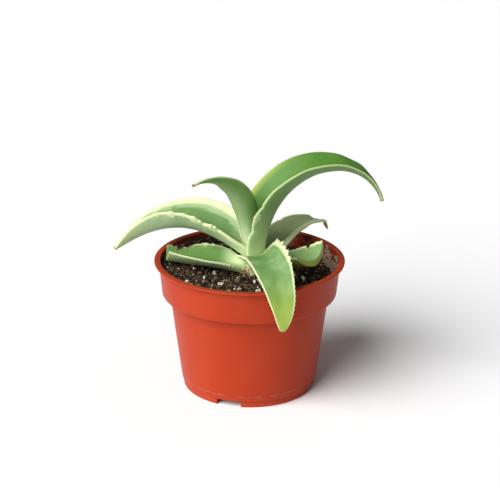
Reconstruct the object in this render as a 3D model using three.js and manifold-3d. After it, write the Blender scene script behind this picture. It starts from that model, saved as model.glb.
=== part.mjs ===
// A young variegated agave in a round plastic nursery pot. Millimetres, +Z up.
// The origin is the centre of the pot's foot, on the surface that the pot stands on.
// +X runs along the long right-hand leaf and -Y is the front, where one leaf hangs over the rim.
import * as THREE from "three";
import { mergeVertices } from "three/addons/utils/BufferGeometryUtils.js";
import Module from "manifold-3d";

const wasm = await Module();
wasm.setup();

// ---- pot ----
const RIM_RADIUS = 76; // outer edge of the lip
const POT_HEIGHT = 106;
const WALL = 1.3;
const LIP_OVERHANG = 3.6; // how far the lip stands out from the band
const LIP_THICKNESS = 1.7;
const BAND_HEIGHT = 28; // from the lip's top down to the ledge
const BAND_TAPER = 2.6; // the band's outside narrows this much on its way down
const LEDGE_WIDTH = 6; // step from the band in to the body
const BODY_TAPER = 9.4; // the body's outside narrows this much on its way down
const FOOT_HEIGHT = 5; // the base plate stands this far above the surface
const FOOT_INSET = 1.2; // the foot ring is this much smaller than the body's lower end
const FOOT_RING_THICKNESS = 2.4;
const BASE_THICKNESS = 1.6;
const NOTCH_COUNT = 4;
const NOTCH_ROOF = 0.2; // a notch stops this far below the base plate
const NOTCH_WIDTH = 20;
const NOTCH_TURN = -107.6; // heading of the first notch, degrees from +X
const DRAIN_RADIUS = 4.5;
const DRAIN_INSET = 5; // from the foot ring's inside to a drain hole's edge
const POT_SEGMENTS = 48;
const FACET_ALLOWANCE = 0.2; // a faceted wall stands a little inside its true circle

// ---- potting mix ----
const MIX_DEPTH = 12; // from the rim down to the mix at the pot's centre
const MIX_SLOPE_X = -0.115; // the mix lies lower on the right
const MIX_SLOPE_Y = 0.05; // and a little higher at the back
const MIX_LUMP = 0.8;
const MIX_RINGS = 6;
const MIX_SEGMENTS = 32;
const CLEARANCE = 0.35; // gap kept between touching pieces

// ---- stem and roots ----
const STEM_RADIUS = 8;
const CROWN_DEPTH = 3; // from the rim down to the crown, where the leaves spring from the stem
const STEM_BELOW_MIX = 24;
const STEM_TOP_DROP = 1; // the stem ends this far below the crown
const STEM_TOP_TAPER = 3; // height of the taper at the stem's top
const STEM_TOP_SHARE = 0.55; // the stem's radius at its very top, as a share of STEM_RADIUS
const STEM_FOOT_SHARE = 0.6; // and at its very foot
const STEM_FOOT_TAPER = 5;
const STEM_SEGMENTS = 20;
const ROOT_COUNT = 6;
const ROOT_RADIUS = 1.3;
const ROOT_WALL_GAP = 10; // the roots end this far inside the pot's lower wall
const ROOT_DROP = 34;
const ROOT_FIRST_HEADING = 17; // degrees from +X
const ROOT_STAGGER = 5; // every other root leaves the stem this much lower

// ---- leaves ----
const LEAF_SECTION_POINTS = 12;
const LEAF_STATIONS = 18;
const SPINE_STEPS = 48;
const CHANNEL_POWER = 1.7; // how sharply the blade folds up towards its margins
const EDGE_POWER = 0.8; // how bluntly the blade thins out towards its margins

// The front leaf hangs over the rim and the two cut leaves end inside it, so their lengths follow
// the pot. FRONT_LEAF_SHARE is the front leaf's length for each millimetre of the rim's radius.
const FRONT_LEAF_SHARE = 1.5;
const CUT_LEAF_GAP = 11; // how much shorter a cut leaf is than the pot's inside radius

// Three low pieces start at the mix, and the two small ones start inside the stem's surface.
const BACK_LEAF_RISE = 1; // the back leaf's foot is this far above the mix
const OLD_BASE_SUNK = 4; // the old leaf base starts this far inside the stem's front
const DRY_SCALE_SUNK = 2; // and the dry scale this far
const DRY_SCALE_RISE = 0.5; // the dry scale starts this far above the mix

// ---- loose pieces on the mix ----
const PERLITE_COUNT = 11;
const PERLITE_RADIUS = 1.7;
const PERLITE_SIZES = [0.8, 0.9, 1, 1.1]; // the grains take these shares of PERLITE_RADIUS in turn
const PERLITE_FLATNESS = 0.8; // a grain's height against its length
const PERLITE_TURN = 250; // where the winding of grains starts, degrees
const BARK_COUNT = 9;
const BARK_LENGTH = 6.5;
const BARK_WIDTH = 3;
const BARK_THICKNESS = 1.8;
const BARK_TURN = 215; // where the winding of bark starts, degrees
const LITTER_RING_INNER = 0.5; // the pieces lie between these shares of the mix's radius
const LITTER_RING_OUTER = 0.88;
const LITTER_SECTOR_START = -170; // they lie in the open sector at the front of the pot
const LITTER_SECTOR = 160;
const GOLDEN_TURN = 137.5; // degrees between one piece and the next
const SUNK_SHARE = 0.35; // how much of a piece's half height is below the surface

// ---- dimensions that follow ----
const bandTopRadius = RIM_RADIUS - LIP_OVERHANG;
const bandFootRadius = bandTopRadius - BAND_TAPER;
const bodyTopRadius = bandFootRadius - LEDGE_WIDTH;
const bodyFootRadius = bodyTopRadius - BODY_TAPER;
const footRadius = bodyFootRadius - FOOT_INSET;
const ledgeZ = POT_HEIGHT - BAND_HEIGHT;
const floorZ = FOOT_HEIGHT + BASE_THICKNESS;
const mixCentreZ = POT_HEIGHT - MIX_DEPTH;

const lipInnerRadius = bandTopRadius - WALL;
const crownZ = POT_HEIGHT - CROWN_DEPTH;
const mixBelowCrown = mixCentreZ - crownZ; // the mix's height measured from the crown
const rootReach = bodyFootRadius - ROOT_WALL_GAP;

// ---- the plant's leaves ----
// Each list holds the control values of a smooth curve that runs from a leaf's foot to its tip.
// pitch and yaw steer the spine, in degrees: pitch up from level, yaw round from +X.
// roll turns the blade about its spine, width is from margin to margin, channel is how far the
// margins stand above the spine, and thick is the blade's thickness along the spine.
// base is measured from the crown. The inner leaves come first: each leaf is pared away where an
// earlier one stands.
const LEAVES = [
  {
    name: "centre_leaf",
    base: [1, 1.5, 0.5],
    length: 107,
    pitch: [84, 92, 54, -24],
    yaw: [224, 224, 205],
    roll: [31, 40, 30],
    width: [8, 14, 28, 25, 2],
    channel: [6, 6, 2, 0],
    thick: [7, 5, 4, 2],
    color: 0x7fa36b,
  },
  {
    name: "heart_leaf",
    base: [-1, 5, -2],
    length: 40,
    pitch: [68, 82, 80],
    yaw: [178, 178, 178],
    roll: [0, 0, 0],
    width: [8, 10, 7, 1.5],
    channel: [2, 2, 1, 0.3],
    thick: [4, 2.5, 1.5],
    color: 0xa5c987,
  },
  {
    name: "right_arching_leaf",
    base: [8, 1.5, -5.5],
    length: 166,
    pitch: [92, 69, 9, -75],
    yaw: [14, 15, 8],
    roll: [-2, 2, 6],
    width: [24.5, 36, 42.5, 38, 23.5, 3],
    channel: [10, 22.5, 17, 9, 2.5, 0],
    thick: [9, 6, 5, 3],
    color: 0x6f9f5c,
  },
  {
    name: "left_arching_leaf",
    base: [5.5, 3.5, 1],
    length: 129,
    pitch: [37, 23, 6, -36, -29],
    yaw: [155, 159, 195],
    roll: [-30, -9, 19],
    width: [7, 43.5, 37, 17, 5],
    channel: [15, 17, 23, 0],
    thick: [9, 6, 5, 3],
    color: 0x9ab98a,
  },
  {
    name: "back_right_leaf",
    base: [7, 5.5, mixBelowCrown + BACK_LEAF_RISE],
    length: 102,
    pitch: [43, 20, -7, -24],
    yaw: [53, 53, 52],
    roll: [2, 6, 10],
    width: [27.5, 29, 27, 20, 4],
    channel: [5.5, 6.5, 4, 0],
    thick: [7, 5, 4, 2],
    color: 0x75825f,
  },
  {
    name: "front_drooping_leaf",
    base: [7, -2.5, 1],
    length: FRONT_LEAF_SHARE * RIM_RADIUS,
    pitch: [32, 30, -33, -114],
    yaw: [-85, -71, -69],
    roll: [18, 22, 20],
    width: [23.5, 36, 29.5, 28.5, 4.5],
    channel: [8, 5.5, 4, 0],
    thick: [5, 4.5, 4, 2.5],
    color: 0x8fbf6e,
  },
  {
    name: "cut_left_leaf",
    base: [-6.5, -3.5, -4],
    length: lipInnerRadius - CUT_LEAF_GAP,
    pitch: [14, 5, 3, 10],
    yaw: [181, 179, 185],
    roll: [-7, -2, 9],
    width: [17, 36.5, 43, 32.5, 25.5],
    channel: [3.5, 13.5, 6, 8.5],
    thick: [7, 5, 4, 3.5],
    color: 0x7b9d68,
  },
  {
    name: "cut_right_leaf",
    base: [6.5, -3.5, -4],
    length: lipInnerRadius - CUT_LEAF_GAP,
    pitch: [22, 9, 0, 30],
    yaw: [-20, -25, -15],
    roll: [-23, -9, 15],
    width: [28.5, 33, 33.5, 29.5, 26],
    channel: [5, 9, 10.5, 10],
    thick: [7, 6, 5, 4.5],
    skew: 0.19, // the cut runs slantwise: the far margin is longer than the near one
    color: 0x7d9a55,
  },
  {
    name: "old_leaf_base",
    base: [1, OLD_BASE_SUNK - STEM_RADIUS, mixBelowCrown],
    length: 13,
    pitch: [30, 45, 60],
    yaw: [-92, -92, -92],
    roll: [0, 0, 0],
    width: [12, 12, 8, 3],
    channel: [1, 1, 1],
    thick: [6, 5, 3],
    color: 0x7a5a2e,
  },
  {
    name: "dry_leaf_scale",
    base: [-4, DRY_SCALE_SUNK - STEM_RADIUS, mixBelowCrown + DRY_SCALE_RISE],
    length: 10,
    pitch: [25, 40, 50],
    yaw: [-120, -125, -130],
    roll: [0, 0, 0],
    width: [7, 8, 6, 2],
    channel: [0.5, 1, 1],
    thick: [2, 1.6, 1.2],
    color: 0xb79a6a,
  },
];

const radians = THREE.MathUtils.degToRad;

function plastic(color) {
  return new THREE.MeshStandardMaterial({ color, roughness: 0.45, metalness: 0 });
}

function matt(color) {
  return new THREE.MeshStandardMaterial({ color, roughness: 0.85, metalness: 0 });
}

// A closed three.js geometry as a solid that can be joined and cut.
function solid(geometry) {
  const bare = geometry.clone();
  bare.deleteAttribute("normal");
  bare.deleteAttribute("uv");
  const merged = mergeVertices(bare, 1e-4);
  return new wasm.Manifold(
    new wasm.Mesh({
      numProp: 3,
      vertProperties: merged.attributes.position.array,
      triVerts: new Uint32Array(merged.index.array),
    }),
  );
}

// A solid back as a named mesh.
function mesh(name, body, material) {
  const made = body.getMesh();
  const geometry = new THREE.BufferGeometry();
  geometry.setAttribute("position", new THREE.BufferAttribute(made.vertProperties, 3));
  geometry.setIndex(new THREE.BufferAttribute(made.triVerts, 1));
  geometry.computeVertexNormals();
  const result = new THREE.Mesh(geometry, material);
  result.name = name;
  return result;
}

// The largest connected piece of a solid that a cut may have split.
function largestPiece(body) {
  return body.decompose().reduce((a, b) => (a.volume() > b.volume() ? a : b));
}

// A closed profile of [radius, z] corners, turned about the Z axis.
function turned(corners, segments) {
  const profile = corners.map(([radius, z]) => new THREE.Vector2(radius, z));
  const geometry = new THREE.LatheGeometry(profile, segments);
  return geometry.rotateX(Math.PI / 2);
}

// Points on a quarter round between two corners of a profile, bulging towards the third.
function roundedCorner(from, corner, to, steps) {
  const curve = new THREE.QuadraticBezierCurve(
    new THREE.Vector2(...from),
    new THREE.Vector2(...corner),
    new THREE.Vector2(...to),
  );
  return curve.getPoints(steps).map((p) => [p.x, p.y]);
}

// ---- pot ----

// The inside radius of the pot at a height above its base plate.
function innerRadius(z) {
  if (z > ledgeZ + WALL) {
    const down = (POT_HEIGHT - z) / BAND_HEIGHT;
    return bandTopRadius - BAND_TAPER * down - WALL;
  }
  const down = (ledgeZ - z) / (ledgeZ - FOOT_HEIGHT);
  return bodyTopRadius - BODY_TAPER * down - WALL;
}

function potShell() {
  const lipUnderside = POT_HEIGHT - LIP_THICKNESS;
  const corner = 2 * WALL;
  const outside = [
    [bandTopRadius - WALL, POT_HEIGHT],
    ...roundedCorner(
      [RIM_RADIUS - LIP_THICKNESS, POT_HEIGHT],
      [RIM_RADIUS, POT_HEIGHT],
      [RIM_RADIUS, lipUnderside],
      3,
    ),
    ...roundedCorner(
      [bandTopRadius + WALL, lipUnderside],
      [bandTopRadius, lipUnderside],
      [bandTopRadius, lipUnderside - WALL],
      2,
    ),
    ...roundedCorner(
      [bandFootRadius, ledgeZ + WALL],
      [bandFootRadius, ledgeZ],
      [bandFootRadius - WALL, ledgeZ],
      2,
    ),
    ...roundedCorner(
      [bodyTopRadius + WALL, ledgeZ],
      [bodyTopRadius, ledgeZ],
      [bodyTopRadius, ledgeZ - WALL],
      2,
    ),
    ...roundedCorner(
      [bodyFootRadius, FOOT_HEIGHT + WALL],
      [bodyFootRadius, FOOT_HEIGHT],
      [footRadius, FOOT_HEIGHT],
      2,
    ),
    [footRadius, 0],
    [footRadius - FOOT_RING_THICKNESS, 0],
    [footRadius - FOOT_RING_THICKNESS, FOOT_HEIGHT],
    [0, FOOT_HEIGHT],
  ];
  const inside = [
    [0, floorZ],
    ...roundedCorner(
      [innerRadius(floorZ) - corner, floorZ],
      [innerRadius(floorZ), floorZ],
      [innerRadius(floorZ + corner), floorZ + corner],
      2,
    ),
    [bodyTopRadius - WALL, ledgeZ],
    [bodyTopRadius - WALL, ledgeZ + WALL],
    [bandFootRadius - WALL, ledgeZ + WALL],
    [bandTopRadius - WALL, POT_HEIGHT],
  ];
  return turned([...outside, ...inside].reverse(), POT_SEGMENTS);
}

// The heading of a drainage notch, in radians.
function notchHeading(i) {
  return radians(NOTCH_TURN + (i * 360) / NOTCH_COUNT);
}

function pot() {
  let body = solid(potShell());
  const ringInside = footRadius - FOOT_RING_THICKNESS;
  const reach = 3 * FOOT_RING_THICKNESS;
  const drainReach = ringInside - DRAIN_INSET - DRAIN_RADIUS;
  for (let i = 0; i < NOTCH_COUNT; i++) {
    const notch = new THREE.BoxGeometry(reach, NOTCH_WIDTH, 2 * (FOOT_HEIGHT - NOTCH_ROOF));
    notch.translate(footRadius - FOOT_RING_THICKNESS / 2, 0, 0);
    notch.rotateZ(notchHeading(i));
    body = body.subtract(solid(notch));
    const drain = new THREE.CylinderGeometry(DRAIN_RADIUS, DRAIN_RADIUS, 4 * BASE_THICKNESS, 16);
    drain.rotateX(Math.PI / 2);
    drain.translate(drainReach, 0, floorZ);
    drain.rotateZ(notchHeading(i));
    body = body.subtract(solid(drain));
  }
  return mesh("pot", body, plastic(0xc4512f));
}

// ---- leaves ----

// The value at s of the smooth curve through a list of control values.
function blend(values, s) {
  let level = values;
  while (level.length > 1) {
    level = level.slice(1).map((v, i) => level[i] + (v - level[i]) * s);
  }
  return level[0];
}

function spineDirection(leaf, s) {
  const pitch = radians(blend(leaf.pitch, s));
  const yaw = radians(blend(leaf.yaw, s));
  return new THREE.Vector3(
    Math.cos(pitch) * Math.cos(yaw),
    Math.cos(pitch) * Math.sin(yaw),
    Math.sin(pitch),
  );
}

// The spine is walked from the leaf's foot, so its length stays the stated one however it curls.
function spinePoint(leaf, s) {
  const [x, y, z] = leaf.base;
  const point = new THREE.Vector3(x, y, crownZ + z);
  const steps = Math.max(1, Math.ceil(s * SPINE_STEPS));
  for (let i = 0; i < steps; i++) {
    const middle = (s * (i + 0.5)) / steps;
    point.addScaledVector(spineDirection(leaf, middle), (leaf.length * s) / steps);
  }
  return point;
}

// A point of the blade: s runs along the spine, across from margin to margin is -1 to 1, and
// side is -1 on the outer face and 1 on the inner face. swell thickens the blade all round.
function bladePoint(leaf, s, across, side, swell) {
  const skew = leaf.skew ?? 0;
  const along = (s * (1 + skew * across)) / (1 + Math.abs(skew));
  const forward = spineDirection(leaf, along);
  const yaw = radians(blend(leaf.yaw, along));
  const level = new THREE.Vector3(-Math.sin(yaw), Math.cos(yaw), 0);
  const raised = forward.clone().cross(level);
  const roll = radians(blend(leaf.roll, along));
  const sideways = level.clone().multiplyScalar(Math.cos(roll));
  sideways.addScaledVector(raised, Math.sin(roll));
  const inward = raised.clone().multiplyScalar(Math.cos(roll));
  inward.addScaledVector(level, -Math.sin(roll));
  const half = blend(leaf.width, along) / 2;
  const height = blend(leaf.channel, along);
  const spread = Math.abs(across);
  const slope = (height * CHANNEL_POWER * spread ** (CHANNEL_POWER - 1) * Math.sign(across)) / half;
  const steep = Math.hypot(1, slope);
  const thick = (blend(leaf.thick, along) / 2 + swell) * Math.sign(side) * Math.abs(side) ** EDGE_POWER;
  const beyond = swell * across;
  const point = spinePoint(leaf, along);
  point.addScaledVector(sideways, half * across + (beyond - slope * thick) / steep);
  point.addScaledVector(inward, height * spread ** CHANNEL_POWER + (slope * beyond + thick) / steep);
  point.addScaledVector(forward, swell * (2 * s - 1));
  return point;
}

function leafSolid(leaf, swell = 0) {
  const geometry = new THREE.CylinderGeometry(1, 1, 1, LEAF_SECTION_POINTS, LEAF_STATIONS);
  const position = geometry.attributes.position;
  for (let i = 0; i < position.count; i++) {
    const s = position.getY(i) + 0.5;
    const point = bladePoint(leaf, s, position.getX(i), -position.getZ(i), swell);
    position.setXYZ(i, point.x, point.y, point.z);
  }
  return solid(geometry);
}

// ---- stem, roots and potting mix ----

function stemSolid(swell = 0) {
  const radius = STEM_RADIUS + swell;
  const top = crownZ - STEM_TOP_DROP + swell;
  const bottom = mixCentreZ - STEM_BELOW_MIX - swell;
  const corners = [
    [0, bottom],
    [radius * STEM_FOOT_SHARE, bottom],
    [radius, bottom + STEM_FOOT_TAPER],
    [radius, top - STEM_TOP_TAPER],
    [radius * STEM_TOP_SHARE, top],
    [0, top],
  ];
  return solid(turned(corners, STEM_SEGMENTS));
}

function rootSolid(i, swell = 0) {
  const heading = radians(ROOT_FIRST_HEADING + (i * 360) / ROOT_COUNT);
  const away = new THREE.Vector3(Math.cos(heading), Math.sin(heading), 0);
  const startZ = mixCentreZ - STEM_BELOW_MIX / 2 - (i % 2) * ROOT_STAGGER;
  const spots = [
    [STEM_RADIUS + 2 * CLEARANCE - swell, 0],
    [THREE.MathUtils.lerp(STEM_RADIUS, rootReach, 0.45), ROOT_DROP * 0.25],
    [THREE.MathUtils.lerp(STEM_RADIUS, rootReach, 0.8), ROOT_DROP * 0.6],
    [rootReach, ROOT_DROP],
  ];
  const path = new THREE.CatmullRomCurve3(
    spots.map(([out, down]) => away.clone().multiplyScalar(out).setZ(startZ - down)),
  );
  const section = new THREE.Shape();
  section.absarc(0, 0, ROOT_RADIUS + swell, 0, 2 * Math.PI);
  return solid(
    new THREE.ExtrudeGeometry(section, { extrudePath: path, steps: 12, curveSegments: 4 }),
  );
}

// The height of the mix's surface, with a few gentle lumps.
function mixHeight(x, y) {
  const lumps = Math.sin(x / 7 + 1) * Math.cos(y / 9) + Math.sin((x + y) / 5) / 2;
  return mixCentreZ + MIX_SLOPE_X * x + MIX_SLOPE_Y * y + MIX_LUMP * lumps;
}

function mixSolid() {
  const bottom = floorZ + CLEARANCE;
  const wallGap = CLEARANCE + FACET_ALLOWANCE;
  const bottomRadius = innerRadius(bottom) - 2 * WALL - wallGap;
  const ledgeRadius = bodyTopRadius - WALL - wallGap;
  const rimRadius = bandFootRadius - WALL - wallGap;
  const corners = [
    [0, bottom],
    [bottomRadius, bottom],
    [innerRadius(bottom + 2 * WALL) - wallGap, bottom + 2 * WALL],
    [ledgeRadius, ledgeZ],
    [ledgeRadius, ledgeZ + WALL + wallGap],
    [rimRadius, ledgeZ + WALL + wallGap],
  ];
  for (let ring = MIX_RINGS; ring >= 0; ring--) {
    corners.push([(rimRadius * ring) / MIX_RINGS, POT_HEIGHT]);
  }
  const geometry = turned(corners, MIX_SEGMENTS);
  const position = geometry.attributes.position;
  for (let i = 0; i < position.count; i++) {
    if (position.getZ(i) > POT_HEIGHT - 0.01) {
      position.setZ(i, mixHeight(position.getX(i), position.getY(i)));
    }
  }
  return solid(geometry);
}

// ---- loose pieces ----

// Where the i-th loose piece of a set lies: the set winds outwards round the stem.
function litterSpot(i, count, turnStart) {
  const share = LITTER_RING_INNER + (LITTER_RING_OUTER - LITTER_RING_INNER) * ((i + 0.5) / count);
  const distance = share * (bandFootRadius - WALL);
  const turn = radians(LITTER_SECTOR_START + ((turnStart + i * GOLDEN_TURN) % LITTER_SECTOR));
  return [distance * Math.cos(turn), distance * Math.sin(turn), turn];
}

function litterSolid(halfSizes, spot, turn, swell) {
  const geometry = new THREE.IcosahedronGeometry(1, 0);
  const [halfX, halfY, halfZ] = halfSizes.map((half) => half + swell);
  geometry.scale(halfX, halfY, halfZ);
  geometry.rotateZ(turn);
  const [x, y] = spot;
  geometry.translate(x, y, mixHeight(x, y) + halfSizes[2] * (1 - SUNK_SHARE));
  return solid(geometry);
}

function perliteSolid(i, swell = 0) {
  const [x, y, turn] = litterSpot(i, PERLITE_COUNT, PERLITE_TURN);
  const size = PERLITE_RADIUS * PERLITE_SIZES[i % PERLITE_SIZES.length];
  return litterSolid([size, size, size * PERLITE_FLATNESS], [x, y], turn, swell);
}

function barkSolid(i, swell = 0) {
  const [x, y, turn] = litterSpot(i, BARK_COUNT, BARK_TURN);
  const sizes = [BARK_LENGTH / 2, BARK_WIDTH / 2, BARK_THICKNESS / 2];
  return litterSolid(sizes, [x, y], 2 * turn, swell);
}

// ---- assembly ----

const plant = new THREE.Group();
plant.add(pot());

// What the mix and the later leaves are cut back from.
const standing = [stemSolid(CLEARANCE)];
plant.add(mesh("stem", stemSolid(), matt(0xa9b77c)));

for (const leaf of LEAVES) {
  let body = leafSolid(leaf);
  for (const earlier of standing) {
    body = body.subtract(earlier);
  }
  plant.add(mesh(leaf.name, largestPiece(body), matt(leaf.color)));
  standing.push(leafSolid(leaf, CLEARANCE));
}

for (let i = 0; i < ROOT_COUNT; i++) {
  plant.add(mesh(`root_${i + 1}`, rootSolid(i), matt(0xd8c9a4)));
  standing.push(rootSolid(i, CLEARANCE));
}

for (let i = 0; i < PERLITE_COUNT; i++) {
  plant.add(mesh(`perlite_${i + 1}`, perliteSolid(i), matt(0xe9e4d4)));
  standing.push(perliteSolid(i, CLEARANCE));
}

for (let i = 0; i < BARK_COUNT; i++) {
  plant.add(mesh(`bark_chip_${i + 1}`, barkSolid(i), matt(0x6d4a2c)));
  standing.push(barkSolid(i, CLEARANCE));
}

let mix = mixSolid();
for (const piece of standing) {
  mix = mix.subtract(piece);
}
plant.add(mesh("potting_mix", largestPiece(mix), matt(0x2c211b)));

export default plant;
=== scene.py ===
import math

import bmesh
import bpy
import numpy as np
from mathutils import Matrix, Vector


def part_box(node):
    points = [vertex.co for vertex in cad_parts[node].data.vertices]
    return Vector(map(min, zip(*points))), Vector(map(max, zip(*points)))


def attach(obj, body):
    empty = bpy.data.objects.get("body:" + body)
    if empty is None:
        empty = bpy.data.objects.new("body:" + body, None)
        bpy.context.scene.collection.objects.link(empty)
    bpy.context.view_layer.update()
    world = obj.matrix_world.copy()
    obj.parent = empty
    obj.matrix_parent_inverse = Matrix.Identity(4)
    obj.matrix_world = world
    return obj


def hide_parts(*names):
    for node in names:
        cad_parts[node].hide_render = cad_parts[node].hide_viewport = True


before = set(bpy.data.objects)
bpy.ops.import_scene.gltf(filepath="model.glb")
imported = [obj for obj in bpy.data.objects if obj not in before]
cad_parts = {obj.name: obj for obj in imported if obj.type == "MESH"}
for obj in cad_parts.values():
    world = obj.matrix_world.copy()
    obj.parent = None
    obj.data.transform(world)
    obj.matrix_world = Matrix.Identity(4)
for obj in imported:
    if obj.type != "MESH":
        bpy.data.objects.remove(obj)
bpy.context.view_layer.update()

bl_info = {
    "name": "Potted agave",
    "version": (1, 0, 0),
    "blender": (4, 5, 0),
    "location": "View3D > Sidebar > Agave",
    "description": "Dresses a potted agave: leaves, nursery pot, potting mix and loose grains",
    "category": "Add Mesh",
}

MM = 0.001
SEED = 20


# ---- places taken from the frame, in millimetres ----

POT_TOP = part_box("pot")[1]
RIM_RADIUS = POT_TOP.x / MM
POT_HEIGHT = POT_TOP.z / MM
CROWN_ABOVE_STEM = 1.0
CROWN_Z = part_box("stem")[1].z / MM + CROWN_ABOVE_STEM
MIX_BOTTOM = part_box("potting_mix")[0].z / MM


# ---- sizes of the pot, in millimetres, and its angles in degrees ----

WALL = 1.3
LIP = 1.7
LIP_OVERHANG = 3.6
BAND_HEIGHT = 28.0
BAND_TAPER = 2.6
LEDGE_WIDTH = 6.0
BODY_TAPER = 9.4
FOOT_HEIGHT = 5.0
FOOT_INSET = 1.2
FOOT_RING = 2.4
BASE_THICKNESS = 1.6
NOTCH_COUNT = 4
NOTCH_TURN = -107.6
NOTCH_WIDTH = 20.0
NOTCH_ROOF = 0.2
DRAIN_RADIUS = 4.5
DRAIN_INSET = 5.0
PARTING_LINE_Z = 9.5
PARTING_STEP = 0.12
POT_SEGMENTS = 256
PROFILE_STEP = 3.0  # the longest stretch of the profile between two rings
DRAIN_SEGMENTS = 48
SHARP_ANGLE = 35

BAND_TOP = RIM_RADIUS - LIP_OVERHANG
BAND_FOOT = BAND_TOP - BAND_TAPER
BODY_TOP = BAND_FOOT - LEDGE_WIDTH
BODY_FOOT = BODY_TOP - BODY_TAPER
FOOT_RADIUS = BODY_FOOT - FOOT_INSET
LEDGE_Z = POT_HEIGHT - BAND_HEIGHT
FLOOR_Z = FOOT_HEIGHT + BASE_THICKNESS

# the mix: its depth below the rim, its slope to the right and towards the back, and its lumps
MIX_DEPTH = 12.0
MIX_SLOPE_X = -0.115
MIX_SLOPE_Y = 0.05
MIX_LUMP = 0.8
MIX_CENTRE_Z = POT_HEIGHT - MIX_DEPTH
MIX_EDGE = RIM_RADIUS - 6.0
MIX_GAP = 0.35


# ---- colours of the small finishes ----

POWDER = (0.44, 0.58, 0.36)
# painted shade: the dull olive mixed over the back right leaf, which lies in shade
SHADED_GREEN = (0.37, 0.41, 0.21)
CUT_FIBRE = (0.27, 0.33, 0.05)
STRAW = (0.72, 0.58, 0.34)
# painted shade: the near-black red laid over the band's inner wall
INNER_WALL_SHADE = (0.10, 0.012, 0.006)
# painted shade: the darker red laid over the top of the lip
LIP_TOP_SHADE = (0.24, 0.045, 0.018)
ROOT_LIGHT = (0.62, 0.5, 0.3)
ROOT_DARK = (0.35, 0.24, 0.13)
MOSS = ((0.03, 0.05, 0.012), (0.09, 0.14, 0.03))
DRIED_DIRT = ((0.10, 0.05, 0.03), (0.66, 0.54, 0.37))
FIBRE = ((0.16, 0.09, 0.04), (0.50, 0.36, 0.18))
BARK_DARK = (0.045, 0.02, 0.01)
PERLITE_DUST = (0.42, 0.33, 0.24)  # what dust leaves of each part of the perlite's colour

LIGHT_TRAVEL = (0.5, 1.0, 0.25)  # how far red, green and blue light pass through a blade


# ---- sizes and colours that a user would change ----

def colour_property(name, description, default):
    return bpy.props.FloatVectorProperty(
        name=name, description=description, default=default,
        subtype="COLOR", size=3, min=0.0, max=1.0,
    )


def length_property(name, description, default_mm):
    return bpy.props.FloatProperty(
        name=name, description=description, default=default_mm * MM,
        min=0.0, unit="LENGTH", precision=4,
    )


def count_property(name, description, default):
    return bpy.props.IntProperty(name=name, description=description, default=default, min=0)


def number_property(name, description, default, subtype="NONE"):
    return bpy.props.FloatProperty(
        name=name, description=description, default=default, min=0.0, subtype=subtype)


class AgaveLeafSettings(bpy.types.PropertyGroup):
    tooth_height: length_property("Tooth height", "How far a margin tooth stands out", 0.6)
    tooth_spacing: length_property("Tooth spacing", "Distance from one margin tooth to the next", 2.8)
    waviness: length_property("Waviness", "How far the margins wander in and out of the blade", 0.7)
    green: colour_property("Green", "Flesh of the leaf in the light", (0.084, 0.212, 0.027))
    bloom: colour_property("Bloom", "Waxy grey-green coat on the outer faces", (0.285, 0.405, 0.190))
    shade: colour_property("Deep green", "Darker streaks along the blade", (0.055, 0.150, 0.018))
    cream: colour_property("Cream", "Pale bands and teeth along the margins", (0.62, 0.68, 0.38))
    pale: colour_property("Pale foot", "The pale flesh where a leaf joins the stem", (0.70, 0.81, 0.48))
    dry: colour_property("Dry", "Dried tips and torn edges", (0.25, 0.13, 0.045))
    cut: colour_property("Cut flesh", "The moist face where a leaf was cut", (0.40, 0.48, 0.07))


class AgavePotSettings(bpy.types.PropertyGroup):
    wall: length_property("Wall", "Thickness of the pot's wall", WALL)
    lip: length_property("Lip", "Thickness of the rolled lip", LIP)
    plastic: colour_property("Plastic", "Terracotta coloured plastic", (0.375, 0.034, 0.009))
    worn: colour_property("Worn plastic", "Paler scuffed plastic", (0.42, 0.054, 0.018))
    dirt: colour_property("Dried dirt", "Dirt dried on the inner wall and the foot", (0.33, 0.20, 0.10))


class AgaveMixSettings(bpy.types.PropertyGroup):
    crumb_size: length_property("Crumb size", "Length of an ordinary crumb of peat", 2.1)
    crumbs: count_property("Crumbs", "Loose crumbs on the mix", 3000)
    grains: count_property("Perlite grains", "White grains besides the named ones", 460)
    fibres: count_property("Fibres", "Thin pale fibres on the mix", 90)
    peat: colour_property("Peat", "Damp dark peat", (0.012, 0.008, 0.006))
    peat_light: colour_property("Dry peat", "Drier brown crumbs", (0.30, 0.19, 0.105))
    perlite: colour_property("Perlite", "White mineral grains", (0.86, 0.83, 0.72))
    bark: colour_property("Bark", "Chips of bark", (0.33, 0.17, 0.075))


class AgaveStageSettings(bpy.types.PropertyGroup):
    floor: colour_property("Floor", "The plain pale floor", (0.93, 0.93, 0.93))
    key_power: number_property("Key light", "Strength of the large soft light", 4.9)
    key_softness: number_property("Key softness", "How wide the soft light looks", math.radians(55), "ANGLE")
    fill_strength: number_property("Fill", "Strength of the even light all round", 0.15)


# ---- numbers along a leaf ----

def blend(values, s):
    """The smooth curve through a list of control values, at each s from 0 to 1."""
    s = np.asarray(s, float)
    last = len(values) - 1
    return sum(math.comb(last, i) * s**i * (1 - s) ** (last - i) * v for i, v in enumerate(values))


def step(low, high, x):
    """0 below low, 1 above high and smooth in between."""
    t = np.clip((x - low) / (high - low), 0, 1)
    return t * t * (3 - 2 * t)


def bump(centre, half, x):
    """1 at the centre and 0 beyond half either side."""
    return np.clip(1 - ((x - centre) / half) ** 2, 0, 1) ** 1.5


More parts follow.
